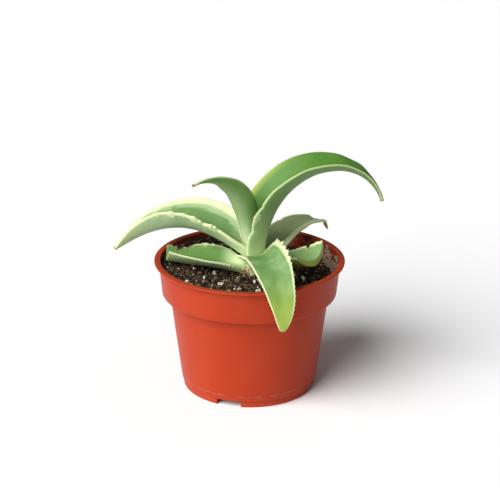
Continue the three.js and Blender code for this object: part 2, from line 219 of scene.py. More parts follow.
def grain(points, size, seed):
    """Soft random values from -1 to 1 at points in space, changing over about size."""
    p = np.atleast_2d(np.asarray(points, float)) / size
    cell = np.floor(p).astype(np.int64)
    t = p - cell
    t = t * t * (3 - 2 * t)
    total = np.zeros(len(p))
    dims = p.shape[1]
    for corner in range(2**dims):
        weight = np.ones(len(p))
        key = np.full(len(p), seed * 7919 + 13, np.int64)
        for d in range(dims):
            bit = (corner >> d) & 1
            weight *= t[:, d] if bit else 1 - t[:, d]
            key = (key * 31337 + (cell[:, d] + bit) * (1013 + 2 * d)) & 0xFFFFFF
        key = (key ^ (key >> 9)) * 2654435 & 0xFFFFFF
        key = (key ^ (key >> 7)) * 40503 & 0xFFFFFF
        total += weight * (key / float(0xFFFFFF) * 2 - 1)
    return total


# ---- shared work on meshes ----

def new_mesh(name, points, faces):
    """A mesh from points in millimetres."""
    mesh = bpy.data.meshes.new(name)
    mesh.from_pydata((np.asarray(points) * MM).tolist(), [], faces)
    return mesh


def points_of(mesh):
    """The mesh's points in millimetres."""
    co = np.zeros(len(mesh.vertices) * 3)
    mesh.vertices.foreach_get("co", co)
    return co.reshape(-1, 3) / MM


def give(mesh, name, values):
    """Keeps one number at each point for a material to read."""
    attribute = mesh.attributes.new(name, "FLOAT", "POINT")
    attribute.data.foreach_set("value", np.asarray(values, np.float32))


def face_outwards(mesh):
    bm = bmesh.new()
    bm.from_mesh(mesh)
    bmesh.ops.recalc_face_normals(bm, faces=bm.faces)
    bm.to_mesh(mesh)
    bm.free()


def link_piece(name, mesh, materials):
    """Links a finished piece, gives it its finish and ties it to the plant's one body."""
    for material in materials:
        mesh.materials.append(material)
    piece = bpy.data.objects.new(name, mesh)
    bpy.context.scene.collection.objects.link(piece)
    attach(piece, "root")
    return piece


def place_object(name, mesh, materials, slot, *nodes):
    """Links a finished piece that stands in for the named nodes."""
    piece = link_piece(name, mesh, materials)
    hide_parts(*nodes)
    return piece


def nodes_named(prefix):
    return sorted(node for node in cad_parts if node.startswith(prefix))


# ---- the leaves ----
# Lists hold the control values of a smooth curve from foot to tip, in millimetres and degrees.
# A blade has a -1 and a +1 margin, an inner (upper) face and an outer face.
#   base         where the leaf starts, measured from the crown
#   pitch, yaw   how far it points up, and its heading
#   roll         turn about its own length
#   channel      how far the margins rise above the middle
#   thick        thickness along the middle
#   bands        width of the cream margin along the leaf, for the -1 and the +1 side
#   outer_band   share of that width on the outer face
#   edge, teeth  strength of the cream edge and of the teeth
#   green        how far the inner face loses its waxy coat
#   deep         extra green on the outer face, at the -1 and the +1 side; deep_inner, on the inner
#   powder       pale powder on the outer and the inner face
#   stripe       a second, softer band inside the cream one on the -1 side
#   lime         (side, width) of a yellow-green margin near the foot
#   foot_end     where the pale foot has faded out; foot_dark, how little of it the inner face has
#   tip_from     where the tip starts to turn yellow-green; under, the same on the outer face
#   dry          share of the length that is dry at the tip
#   torn         (side, start, end, depth) of a piece torn from a margin
#   flag         (start, drop) of a limp strip at the tip
#   skew         how far the ends slant; cut, a leaf that was cut short; dead, a dry remnant
#   marks        (side, place, half length, depth): lobes stand out and tears cut in

MIX_BELOW_CROWN = -9.0
CUT_LEAF_CLEARANCE = 11


def leaf_table():
    cut_length = BAND_TOP - WALL - CUT_LEAF_CLEARANCE
    return {
        "centre_leaf": dict(
            base=(1, 1.5, 0.5), length=107, pitch=(84, 92, 54, -24), yaw=(224, 224, 205),
            roll=(31, 40, 30), width=(8, 14, 28, 25, 2), channel=(6, 6, 2, 0), thick=(7, 5, 4, 2),
            bands=((0.4, 0.5, 0.5, 0.5), (0.3, 0.4, 0.6, 0.6)), green=0.5, dry=0.012,
            edge=0.55, teeth=0.3, deep=(0.0, 0.75), foot_end=0.4, marks=()),
        "heart_leaf": dict(
            base=(-1, 5, -2), length=40, pitch=(68, 82, 80), yaw=(178, 178, 178), roll=(0, 0, 0),
            width=(8, 10, 7, 1.5), channel=(2, 2, 1, 0.3), thick=(4, 2.5, 1.5),
            bands=((1.5, 1.2), (1.5, 1.2)), green=0.25, dry=0.0, marks=()),
        "right_arching_leaf": dict(
            base=(8, 1.5, -5.5), length=166, pitch=(92, 69, 9, -75), yaw=(14, 15, 8), roll=(-2, 2, 6),
            width=(24.5, 36, 42.5, 38, 23.5, 3), channel=(10, 22.5, 17, 9, 2.5, 0), thick=(9, 6, 5, 3),
            bands=((0.3, 0.4, 0.4, 0.4), (0.3, 0.4, 0.4, 0.4)), green=0.95, dry=0.003,
            lime=(1, 4.5), edge=0.6, teeth=0.45, deep=(0.6, 0.6), deep_inner=0.8, foot_dark=1.0,
            marks=((-1, 0.20, 0.03, -0.8), (-1, 0.26, 0.03, 1.0), (-1, 0.31, 0.02, -0.6))),
        "left_arching_leaf": dict(
            base=(5.5, 3.5, 1), length=129, pitch=(37, 23, 6, -36, -29), yaw=(155, 159, 195),
            roll=(-30, -9, 19), width=(7, 43.5, 37, 17, 5), channel=(15, 17, 23, 0),
            thick=(9, 6, 5, 3),
            bands=((3.0, 3.6, 2.6, 0.4, 0.5), (0.8, 0.6, 2.2, 1.4, 0.6)), green=1.0,
            dry=0.004, stripe=1.0, teeth=0.3, foot_end=0.3, foot_dark=0.6, deep_inner=0.3, powder=(0.5, 0.0),
            marks=((1, 0.30, 0.035, 2.6), (1, 0.36, 0.02, -0.8), (1, 0.42, 0.035, 1.6),
                   (1, 0.50, 0.03, 0.7), (1, 0.57, 0.04, 1.4), (1, 0.66, 0.03, 0.7))),
        "back_right_leaf": dict(
            base=(7, 5.5, MIX_BELOW_CROWN + 1), length=102, pitch=(43, 20, -7, -24), yaw=(53, 53, 52),
            roll=(2, 6, 10), width=(27.5, 29, 27, 20, 4), channel=(5.5, 6.5, 4, 0), thick=(7, 5, 4, 2),
            bands=((3.5, 5.0, 4.5, 1.5), (0.8, 1.0, 1.0, 0.8)), green=0.3, dry=0.05, outer_band=1.0,
            torn=(1, 0.81, 0.955, 4.6),
            flag=(0.945, 6.0), marks=((-1, 0.86, 0.04, -0.7), (1, 0.5, 0.02, -0.7))),
        "front_drooping_leaf": dict(
            base=(7, -2.5, 1), length=1.5 * RIM_RADIUS, pitch=(32, 30, -33, -114), yaw=(-85, -71, -69),
            roll=(18, 22, 20), width=(23.5, 36, 29.5, 28.5, 4.5), channel=(8, 5.5, 4, 0),
            thick=(5, 4.5, 4, 2.5),
            bands=((2.4, 0.8, 0.6, 0.6, 0.6), (4.5, 3.6, 1.4, 0.5, 0.6)), green=0.92,
            dry=0.0, tip_from=0.58, powder=(0.0, 0.22),
            marks=((-1, 0.08, 0.06, 2.6), (-1, 0.19, 0.05, 3.0), (-1, 0.29, 0.04, 1.4),
                   (1, 0.12, 0.04, 1.4), (1, 0.20, 0.035, 2.2), (1, 0.28, 0.035, 1.5),
                   (1, 0.35, 0.035, 2.2), (1, 0.42, 0.03, 1.5), (1, 0.475, 0.025, 1.9),
                   (1, 0.525, 0.02, 1.0), (1, 0.57, 0.02, 0.7))),
        "cut_left_leaf": dict(
            base=(-6.5, -3.5, -4), length=cut_length, pitch=(14, 5, 3, 10), yaw=(181, 179, 185),
            roll=(-7, -2, 9), width=(17, 36.5, 43, 32.5, 25.5), channel=(3.5, 13.5, 6, 8.5),
            thick=(7, 5, 4, 3.5), cut=True,
            bands=((0.8, 1.4, 0.8, 0.3), (1.2, 1.3, 1.2, 1.0)), green=0.75, dry=0.0,
            marks=((-1, 0.78, 0.15, -2.8), (-1, 0.5, 0.05, 1.0), (-1, 0.4, 0.03, 0.6))),
        "cut_right_leaf": dict(
            base=(6.5, -3.5, -4), length=cut_length, pitch=(22, 9, 0, 30), yaw=(-20, -25, -15),
            roll=(-23, -9, 15), width=(28.5, 33, 33.5, 29.5, 26), channel=(5, 9, 10.5, 10),
            thick=(7, 6, 5, 4.5), skew=0.19, cut=True, under=0.75, foot_end=0.2,
            bands=((0.8, 1.0, 1.0, 0.8), (2.0, 2.2, 1.8, 1.2)), green=0.45, dry=0.0,
            marks=((1, 0.69, 0.04, -1.8), (1, 0.85, 0.08, 0.7))),
        "old_leaf_base": dict(
            base=(1, -4, MIX_BELOW_CROWN), length=13, pitch=(30, 45, 60), yaw=(-92, -92, -92), roll=(0, 0, 0),
            width=(12, 12, 8, 3), channel=(1, 1, 1), thick=(6, 5, 3), dead=True,
            bands=((0, 0), (0, 0)), green=0.0, dry=1.0, marks=()),
        "dry_leaf_scale": dict(
            base=(-4, -6, MIX_BELOW_CROWN + 0.5), length=10, pitch=(25, 40, 50), yaw=(-120, -125, -130),
            roll=(0, 0, 0), width=(7, 8, 6, 2), channel=(0.5, 1, 1), thick=(2, 1.6, 1.2), dead=True,
            bands=((0, 0), (0, 0)), green=0.0, dry=1.0, marks=()),
    }


SPINE_STEPS = 480
CHANNEL_POWER = 1.7
EDGE_POWER = 0.8
STATION_GAP = 0.42  # distance between the rings of points along a blade
SMALL_STATION_GAP = 0.5
FEWEST_STATIONS = 24
RING_POINTS = 64
SMALL_RING_POINTS = 36
MARGIN_SHARE = 0.80  # a blade's outer part, which the teeth and lobes move
LEAST_KEPT = 0.12  # how much of its half width a torn blade keeps
FOOT_STEPS = 6
FOOT_ROUNDING = 0.6  # how far the foot is drawn back, as a share of its thickness
TOOTH_RISE = 0.72  # share of the spacing over which a tooth rises before its hooked side
TOOTH_HOOK = 1.6


class LeafShape:
    """The blade of one leaf, in millimetres."""

    def __init__(self, leaf):
        self.leaf = leaf
        grid = np.linspace(0, 1, SPINE_STEPS + 1)
        middle = (grid[1:] + grid[:-1]) / 2
        steps = self.forward(middle) * leaf["length"] / SPINE_STEPS
        start = np.array(leaf["base"], float) + (0, 0, CROWN_Z)
        self.grid = grid
        self.spine = start + np.vstack([np.zeros(3), np.cumsum(steps, axis=0)])

    def forward(self, s):
        pitch = np.radians(blend(self.leaf["pitch"], s))
        yaw = np.radians(blend(self.leaf["yaw"], s))
        return np.stack([np.cos(pitch) * np.cos(yaw), np.cos(pitch) * np.sin(yaw), np.sin(pitch)], -1)

    def along(self, s, across):
        skew = self.leaf.get("skew", 0)
        return s * (1 + skew * across) / (1 + abs(skew))

    def point(self, s, across, side, beyond=0.0, lift=0.0):
        """A point of the blade. beyond moves it out past the margin, lift moves it off the blade."""
        leaf = self.leaf
        t = self.along(s, across)
        forward = self.forward(t)
        yaw = np.radians(blend(leaf["yaw"], t))
        level = np.stack([-np.sin(yaw), np.cos(yaw), np.zeros_like(yaw)], -1)
        raised = np.cross(forward, level)
        roll = np.radians(blend(leaf["roll"], t))[:, None]
        sideways = level * np.cos(roll) + raised * np.sin(roll)
        inward = raised * np.cos(roll) - level * np.sin(roll)
        half = blend(leaf["width"], t) / 2
        height = blend(leaf["channel"], t)
        spread = np.abs(across)
        slope = height * CHANNEL_POWER * spread ** (CHANNEL_POWER - 1) * np.sign(across) / half
        steep = np.hypot(1, slope)
        thick = blend(leaf["thick"], t) / 2 * np.sign(side) * np.abs(side) ** EDGE_POWER + lift
        spot = np.stack([np.interp(t, self.grid, self.spine[:, k]) for k in range(3)], -1)
        out = half * across + (beyond - slope * thick) / steep
        rise = height * spread**CHANNEL_POWER + (slope * beyond + thick) / steep
        return spot + sideways * out[:, None] + inward * rise[:, None]


def margin_growth(leaf, settings, s, across, seed):
    """How far the margin stands out or in at each point, in millimetres."""
    side = np.where(across >= 0, 1.0, -1.0)
    length = leaf["length"]
    arc = s * length
    jitter = 0.9 * grain(np.stack([arc, side * 40], -1), 5.0, seed + 1)
    spacing = settings.tooth_spacing / MM
    phase = np.mod((arc + jitter) / spacing + 0.37 * side, 1.0)
    hooked = (1 - phase) / (1 - TOOTH_RISE)
    tooth = np.where(phase < TOOTH_RISE, phase / TOOTH_RISE, hooked) ** TOOTH_HOOK
    size = 0.65 + 0.5 * grain(np.stack([arc, side * 90], -1), 7.0, seed + 2)
    tallest = leaf.get("teeth", 1.0) * settings.tooth_height / MM
    growth = tallest * tooth * np.clip(size, 0.15, 1.3) * step(0.03, 0.16, s)
    if not leaf.get("cut"):
        growth *= 1 - step(0.965, 1.0, s)
    for mark_side, place, half, depth in leaf["marks"]:
        here = bump(place, half, s) * (side == mark_side)
        ragged = 1 + 0.7 * grain(np.stack([arc, side * 17], -1), 0.9, seed + 3)
        growth += here * depth * ragged
    if "torn" in leaf:
        torn_side, start, end, depth = leaf["torn"]
        torn = step(start, start + 0.012, s) * (1 - step(end, end + 0.01, s))
        growth -= depth * torn * (side == torn_side)
    return growth - 0.25 * tallest


def rounded_foot(rings, shape):
    """Draws the first rings back and in, so that the foot ends round and sinks into the crown."""
    foot = rings[FOOT_STEPS]
    centre = foot.mean(axis=0)
    back = shape.forward(np.zeros(1))[0] * shape.leaf["thick"][0] * FOOT_ROUNDING
    for i in range(FOOT_STEPS):
        share = (FOOT_STEPS - i) / (FOOT_STEPS + 0.5)
        rings[i] = centre + (foot - centre) * math.sqrt(1 - share**2) - back * share
    return rings


def ring_faces(rows, around):
    """The blade's side faces, then the faces that close its foot and its tip."""
    sides = [
        (i * around + j, i * around + (j + 1) % around,
         (i + 1) * around + (j + 1) % around, (i + 1) * around + j)
        for i in range(rows - 1) for j in range(around)
    ]
    ends = []
    half_around = around // 2
    quarter = around // 4
    for row, flip in ((0, True), (rows - 1, False)):
        start = row * around
        # the section's inner half runs 3/4 turn to 1/4 turn, and the outer half faces it
        upper = [start + j % around for j in range(-quarter, quarter + 1)]
        lower = [start + (half_around - j % around) % around for j in range(-quarter, quarter + 1)]
        for k in range(half_around):
            ring = [upper[k], upper[k + 1], lower[k + 1], lower[k]]
            ring = [v for i, v in enumerate(ring) if v not in ring[:i]]
            if len(ring) > 2:
                ends.append(tuple(ring[::-1] if flip else ring))
    return sides, ends


def leaf_values(leaf, seed, s, across, side, half, growth, edge_weight):
    """What the leaf's material reads at each point of the blade."""
    arc = s * leaf["length"]
    margin = (1 - np.abs(across)) * half
    inner = step(-0.15, 0.25, side)
    outer = 1 - inner

    band = np.where(across >= 0, blend(leaf["bands"][1], s), blend(leaf["bands"][0], s))
    for mark_side, place, half_length, depth in leaf["marks"]:
        if depth > 0:
            band = band + 0.35 * depth * bump(place, half_length * 1.6, s) * (np.sign(across) == mark_side)
    band = band * (1 + 0.16 * grain(np.stack([arc / 14, across * half], -1), 0.8, seed + 8))
    striped = 1 - step(0.9, 1.15, margin / np.maximum(1.8 * band, 0.05))
    stripe = leaf.get("stripe", 0.0) * striped * inner * (across < 0)
    band = band * (1 - (1 - leaf.get("outer_band", 0.28)) * outer) + 0.35 * outer
    cream = 1 - step(0.85, 1.15, margin / np.maximum(band, 0.05))
    cream = np.maximum(cream, step(0.2, 0.5, growth * edge_weight)) * leaf.get("edge", 1.0)

    deep_low, deep_high = leaf.get("deep", (0.0, 0.0))
    deep = outer * (deep_low + (deep_high - deep_low) * step(-0.5, 0.7, across))
    deep = deep + inner * leaf.get("deep_inner", 0.0)
    powder_outer, powder_inner = leaf.get("powder", (0.0, 0.0))
    powder = outer * powder_outer * (1.4 - s) + inner * powder_inner * bump(0.5, 0.24, s)

    dry = s * 0 + leaf["dry"]
    if 0 < leaf["dry"] < 1:
        dry = step(1 - leaf["dry"] * 2.2, 1 - leaf["dry"] * 0.8, s)
    for mark_side, place, half_length, depth in leaf["marks"]:
        if depth < -1.0:
            near = bump(place, half_length * 1.25, s) * (np.sign(across) == mark_side)
            dry = np.maximum(dry, near * (1 - step(0.4, 1.6, margin)))

    lime_side, lime_width = leaf.get("lime", (0, 1.0))
    lime = (1 - step(0.2, 1.0, margin / lime_width)) * (np.sign(across) == lime_side)
    lime = lime * (1 - step(0.3, 0.6, s)) * (lime_side != 0)
    tip = step(leaf.get("tip_from", 0.93), 1.0, s) * (not leaf.get("cut"))
    foot = 1 - step(0.02, leaf.get("foot_end", 0.34), s)
    return {
        "cream": cream,
        "stripe": stripe,
        "dry": dry,
        "inner": inner,
        "foot": foot * (1 - leaf.get("foot_dark", 0.0) * inner),
        "deep": deep,
        "powder": powder,
        "tip": np.maximum.reduce([tip, lime, leaf.get("under", 0.0) * outer]),
        "along": arc,
        "across": across * half,
        "green": s * 0 + leaf["green"],
    }


def leaf_mesh(name, leaf, settings, seed):
    """A closed blade with its margins, tip and cut end, and the values its material reads."""
    shape = LeafShape(leaf)
    dead = bool(leaf.get("dead"))
    around = SMALL_RING_POINTS if dead else RING_POINTS
    gap = SMALL_STATION_GAP if dead else STATION_GAP
    stations = int(max(FEWEST_STATIONS, leaf["length"] / gap))
    s_line = np.concatenate([np.zeros(FOOT_STEPS), np.linspace(0, 1, stations + 1)])
    rows = len(s_line)
    theta = 2 * np.pi * np.arange(around) / around
    s = np.repeat(s_line, around)
    across = np.tile(np.sin(theta), rows)
    side = np.tile(np.cos(theta), rows)
    across[np.abs(across) < 1e-9] = 0
    side[np.abs(side) < 1e-9] = 0
    arc = s * leaf["length"]
    half = blend(leaf["width"], shape.along(s, across)) / 2
    edge_weight = step(MARGIN_SHARE, 1.0, np.abs(across))
    if dead:
        growth = 0.8 * grain(np.stack([arc, across * 9], -1), 1.6, seed)
    else:
        growth = margin_growth(leaf, settings, s, across, seed)
    beyond = np.maximum(growth, 0) * edge_weight * np.sign(across)
    kept = np.clip(1 + np.minimum(growth, 0) / half, LEAST_KEPT, 1)
    wave = settings.waviness / MM * grain(np.stack([arc, np.sign(across) * 60], -1), 9.0, seed + 5)
    wave *= step(0.45, 1.0, np.abs(across)) * step(0.05, 0.25, s) * (1 - step(0.85, 1.0, s))
    ridge = 0.06 * grain(np.stack([arc / 24, across * half], -1), 1.1, seed + 6)
    ridge += 0.16 * grain(np.stack([arc / 3, across * half], -1), 4.5, seed + 7)
    points = shape.point(s, across * kept, side, beyond, wave + ridge * side)
    if "flag" in leaf:
        start, drop = leaf["flag"]
        hanging = step(start, start + 0.02, s) * np.clip(0.5 - across, 0, 1.5) / 1.5
        points[:, 2] -= drop * hanging
    points = rounded_foot(points.reshape(-1, around, 3), shape).reshape(-1, 3)

    sides, ends = ring_faces(rows, around)
    mesh = new_mesh(name, points, sides + ends)
    mesh.validate()
    values = leaf_values(leaf, seed, s, across, side, half, growth, edge_weight)
    for key, value in values.items():
        give(mesh, key, value)
    for polygon in mesh.polygons:
        polygon.use_smooth = polygon.index < len(sides)
        polygon.material_index = int(polygon.index >= len(sides))
    return mesh


# ---- materials ----

MIX_NODE_A, MIX_NODE_B, MIX_NODE_RESULT = 6, 7, 2  # the colour sockets of a mix node


class Nodes:
    """A short way to write a material's node tree."""

    def __init__(self, name, roughness, **shader_values):
        self.material = bpy.data.materials.new(name)
        self.material.use_nodes = True
        self.tree = self.material.node_tree
        self.shader = self.tree.nodes["Principled BSDF"]
        self.shader.inputs["Roughness"].default_value = roughness
        for key, value in shader_values.items():
            self.shader.inputs[key.replace("_", " ")].default_value = value

    def node(self, kind, inputs=(), **settings):
        made = self.tree.nodes.new(kind)
        for key, value in settings.items():
            setattr(made, key, value)
        for key, value in dict(inputs).items():
            self.feed(made.inputs[key], value)
        return made

    def feed(self, socket, value):
        if isinstance(value, bpy.types.NodeSocket):
            self.tree.links.new(value, socket)
        elif value is not None:
            is_colour = socket.type == "RGBA" and len(value) == 3
            socket.default_value = (*value, 1.0) if is_colour else value

    def value(self, name):
        return self.node("ShaderNodeAttribute", attribute_name=name).outputs["Fac"]

    def place(self):
        return self.node("ShaderNodeTexCoord").outputs["Object"]

    def noise(self, size_mm, vector, detail=4.0, roughness=0.55):
        inputs = {"Vector": vector, "Scale": 1.0 / (size_mm * MM),
                  "Detail": detail, "Roughness": roughness}
        return self.node("ShaderNodeTexNoise", inputs).outputs["Fac"]

    def mix(self, amount, first, second):
        made = self.node("ShaderNodeMix", data_type="RGBA")
        self.feed(made.inputs["Factor"], amount)
        self.feed(made.inputs[MIX_NODE_A], first)
        self.feed(made.inputs[MIX_NODE_B], second)
        return made.outputs[MIX_NODE_RESULT]

    def maths(self, operation, first, second=None):
        made = self.node("ShaderNodeMath", operation=operation)
        self.feed(made.inputs[0], first)
        self.feed(made.inputs[1], second)
        return made.outputs[0]

    def times(self, first, second):
        return self.maths("MULTIPLY", first, second)

    def span(self, value, low, high, out_low=0.0, out_high=1.0):
        made = self.node("ShaderNodeMapRange", {"Value": value, "From Min": low, "From Max": high,
                                                "To Min": out_low, "To Max": out_high})
        made.interpolation_type = "SMOOTHSTEP"
        return made.outputs["Result"]

    def surface(self, colour, roughness=None, height=None, depth_mm=0.1):
        self.feed(self.shader.inputs["Base Color"], colour)
        if roughness is not None:
            self.feed(self.shader.inputs["Roughness"], roughness)
        if height is not None:
            inputs = {"Height": height, "Strength": 1.0, "Distance": depth_mm * MM}
            relief = self.node("ShaderNodeBump", inputs)
            self.feed(self.shader.inputs["Normal"], relief.outputs["Normal"])
        return self.material


def blade_place(n):
    """A vector that runs along and across the blade, so streaks follow the leaf."""
    made = n.node("ShaderNodeCombineXYZ")
    n.feed(made.inputs[0], n.times(n.value("along"), 0.07 * MM))
    n.feed(made.inputs[1], n.times(n.value("across"), MM))
    return made.outputs[0]


def leaf_material(name, settings, painted_shade=0.0):
    n = Nodes(name, 0.5, Subsurface_Weight=0.25, Subsurface_Scale=0.006, Specular_IOR_Level=0.28)
    n.shader.inputs["Subsurface Radius"].default_value = LIGHT_TRAVEL
    streaks = n.noise(0.9, blade_place(n), 5.0)
    broad = n.noise(14, n.place(), 3.0)
    fine = n.noise(1.1, n.place(), 4.0)
    fresh = n.mix(n.span(streaks, 0.35, 0.75, 0.0, 0.45), settings.green, settings.shade)
    fresh = n.mix(n.span(broad, 0.5, 0.68, 0.0, 0.3), fresh, settings.bloom)
    waxy = n.mix(n.span(streaks, 0.4, 0.8, 0.0, 0.45), settings.bloom, settings.green)
    colour = n.mix(n.times(n.value("inner"), n.value("green")), waxy, fresh)
    colour = n.mix(n.value("deep"), colour, settings.green)
    powder = n.times(n.value("powder"), n.span(broad, 0.35, 0.6, 0.35, 1.0))
    colour = n.mix(powder, colour, POWDER)
    colour = n.mix(n.times(n.value("foot"), 0.92), colour, settings.pale)
    colour = n.mix(n.times(n.value("tip"), 0.7), colour, settings.cut)
    colour = n.mix(n.times(n.value("stripe"), 0.3), colour, settings.pale)
    # painted shade: the colour is mixed towards a dull olive for a leaf that lies in shade
    if painted_shade:
        colour = n.mix(painted_shade, colour, SHADED_GREEN)
    edge = n.times(n.value("cream"), n.span(fine, 0.25, 0.55, 0.75, 1.0))
    colour = n.mix(edge, colour, settings.cream)
    colour = n.mix(n.value("dry"), colour, settings.dry)
    roughness = n.span(broad, 0.3, 0.7, 0.42, 0.6)
    return n.surface(colour, roughness, streaks, 0.07)


def cut_material(settings):
    n = Nodes("cut_flesh", 0.35, Subsurface_Weight=0.2, Subsurface_Scale=0.003)
    cells = n.node("ShaderNodeTexVoronoi", {"Vector": n.place(), "Scale": 900.0})
    dots = cells.outputs["Distance"]
    colour = n.mix(n.span(dots, 0.1, 0.5), settings.cut, CUT_FIBRE)
    browned = n.span(n.noise(2.5, n.place()), 0.5, 0.7, 0.0, 0.35)
    colour = n.mix(browned, colour, settings.dry)
    return n.surface(colour, None, dots, 0.15)


def grained_material(name, roughness, size_mm, detail, first, second, depth_mm):
    """A dull finish that varies between two colours with a fine grain."""
    n = Nodes(name, roughness)
    fine = n.noise(size_mm, n.place(), detail)
    return n.surface(n.mix(n.span(fine, 0.3, 0.7), first, second), None, fine, depth_mm)


def plastic_material(settings):
    """Moulded plastic with dirt dried inside, painted shade on the inner wall, a patchy painted shade on the
    lip's top, a scuffed foot and a broken parting line.
    """
    n = Nodes("pot_plastic", 0.42, Specular_IOR_Level=0.13)
    place = n.place()
    split = n.node("ShaderNodeSeparateXYZ", {"Vector": place}).outputs
    height = split["Z"]
    cloud = n.noise(26, place, 3.0)
    fine = n.noise(0.7, place, 5.0)
    specks = n.noise(1.6, place, 6.0, 0.7)
    squared = [n.maths("POWER", split[axis], 2.0) for axis in "XY"]
    radius = n.maths("SQRT", n.maths("ADD", *squared))
    colour = n.mix(n.span(cloud, 0.4, 0.75, 0.0, 0.4), settings.plastic, settings.worn)

    inside = n.value("inside")
    crust = n.times(inside, n.span(n.noise(5, place, 6.0, 0.65), 0.44, 0.58))
    crust = n.times(crust, n.span(height, (POT_HEIGHT + 1) * MM, (POT_HEIGHT - 9) * MM))
    crust = n.times(crust, n.span(split["X"], 20 * MM, 62 * MM, 0.1, 1.0))
    # painted shade: the band's inner wall is darkened towards a near-black red
    colour = n.mix(n.times(inside, 0.6), colour, INNER_WALL_SHADE)
    colour = n.mix(crust, colour, settings.dirt)

    foot = n.times(n.span(height, 12 * MM, 1 * MM, 0.0, 0.45), n.span(specks, 0.52, 0.66))
    off_line = n.maths("ABSOLUTE", n.maths("SUBTRACT", height, PARTING_LINE_Z * MM))
    broken = n.span(n.noise(7, place, 4.0), 0.45, 0.6)
    line = n.times(n.span(off_line, 0.6 * MM, 0.2 * MM, 0.0, 0.6), broken)
    dust = n.times(n.span(specks, 0.68, 0.74), n.span(radius, 50 * MM, 56 * MM, 0.0, 0.35))
    dirty = n.maths("MAXIMUM", n.maths("MAXIMUM", foot, line), dust)
    colour = n.mix(dirty, colour, settings.dirt)

    # painted shade: the lip's top is darkened in patches
    painted_lip_shade = n.span(height, (POT_HEIGHT - 0.8) * MM, (POT_HEIGHT - 0.2) * MM, 0.0, 0.3)
    colour = n.mix(n.times(painted_lip_shade, n.span(cloud, 0.35, 0.5, 0.5, 1.0)), colour, LIP_TOP_SHADE)
    roughness = n.maths("ADD", n.span(cloud, 0.3, 0.7, 0.36, 0.48), n.times(crust, 0.4))
    return n.surface(colour, roughness, fine, 0.03)


def crumb_material(name, dark, light, roughness=0.95, size=1.2, depth=0.35):
    """Earthy pieces: each piece takes its own shade between dark and light."""
    n = Nodes(name, roughness, Specular_IOR_Level=0.25)
    place = n.place()
    fine = n.noise(size, place, 6.0, 0.65)
    own = n.times(n.value("shade"), n.span(fine, 0.25, 0.7))
    return n.surface(n.mix(own, dark, light), None, fine, depth)


# ---- pot ----

def rounded(points, radius, steps=5):
    """The profile with each listed corner rounded. points are (radius, z, rounding)."""
    out = []
    for i, (x, z, size) in enumerate(points):
        if not size:
            out.append((x, z))
            continue
        here = np.array((x, z))
        before = np.array(points[i - 1][:2]) - here
        after = np.array(points[(i + 1) % len(points)][:2]) - here
        a = here + before / np.hypot(*before) * min(size * radius, 0.45 * np.hypot(*before))
        b = here + after / np.hypot(*after) * min(size * radius, 0.45 * np.hypot(*after))
        for t in np.linspace(0, 1, steps + 1):
            out.append(tuple((1 - t) ** 2 * a + 2 * t * (1 - t) * here + t * t * b))
    return out


def pot_profile(wall, lip):
    """The half section from the floor's middle, up the inside, over the lip and back under the foot."""
    under = POT_HEIGHT - lip
    slope = BODY_TAPER / (LEDGE_Z - FOOT_HEIGHT)
    seam_radius = BODY_FOOT + slope * (PARTING_LINE_Z - FOOT_HEIGHT)
    return rounded([
        (0, FLOOR_Z, 0),
        (BODY_FOOT - wall, FLOOR_Z, 2.0),
        (BODY_TOP - wall, LEDGE_Z + wall, 1.0),
        (BAND_FOOT - wall, LEDGE_Z + wall, 1.0),
        (BAND_TOP - wall, POT_HEIGHT, 0.55),
        (RIM_RADIUS, POT_HEIGHT, 1.0),
        (RIM_RADIUS, under, 0.5),
        (BAND_TOP, under, 0.9),
        (BAND_FOOT, LEDGE_Z, 1.1),
        (BODY_TOP, LEDGE_Z, 0.9),
        (seam_radius, PARTING_LINE_Z, 0),
        (seam_radius - PARTING_STEP, PARTING_LINE_Z - 0.15, 0),
        (BODY_FOOT - PARTING_STEP, FOOT_HEIGHT, 0.9),
        (FOOT_RADIUS, FOOT_HEIGHT, 0.4),
        (FOOT_RADIUS, 0, 0.35),
        (FOOT_RADIUS - FOOT_RING, 0, 0.35),
        (FOOT_RADIUS - FOOT_RING, FOOT_HEIGHT, 0.5),
        (0, FOOT_HEIGHT, 0),
    ], wall)


def closely_spaced(profile, longest):
    """The profile with points added so that no stretch is longer than longest."""
    out = [profile[0]]
    for a, b in zip(profile, profile[1:]):
        parts = max(1, math.ceil(math.dist(a, b) / longest))
        for k in range(1, parts + 1):
            out.append((a[0] + (b[0] - a[0]) * k / parts, a[1] + (b[1] - a[1]) * k / parts))
    return out


def spun_mesh(name, profile, segments):
    """A closed profile that starts and ends on the axis, turned about Z."""
    middle = profile[1:-1]
    turn = 2 * np.pi * np.arange(segments) / segments
    rows = np.array(middle)
    points = np.stack([
        rows[:, 0][:, None] * np.cos(turn), rows[:, 0][:, None] * np.sin(turn),
        np.repeat(rows[:, 1][:, None], segments, 1)], -1).reshape(-1, 3)
    first, last = len(points), len(points) + 1
    points = np.vstack([points, [(0, 0, profile[0][1]), (0, 0, profile[-1][1])]])
    faces = []
    for i in range(len(middle) - 1):
        for j in range(segments):
            k = (j + 1) % segments
            faces.append((i * segments + j, (i + 1) * segments + j,
                          (i + 1) * segments + k, i * segments + k))
    end = (len(middle) - 1) * segments
    for j in range(segments):
        k = (j + 1) % segments
        faces.append((first, j, k))
        faces.append((last, end + k, end + j))
    return new_mesh(name, points, faces)


def turned_place(centre, turn):
    """Where a cutter goes: centre, in millimetres, turned about the pot's axis."""
    return Matrix.Rotation(turn, 4, "Z") @ Matrix.Translation(Vector(centre) * MM)


def cutter_box(size, centre, turn):
    bm = bmesh.new()
    bmesh.ops.create_cube(bm, size=1)
    scale = Matrix.Diagonal((*(Vector(size) * MM), 1))
    bmesh.ops.transform(bm, matrix=turned_place(centre, turn) @ scale, verts=bm.verts)
    return bm


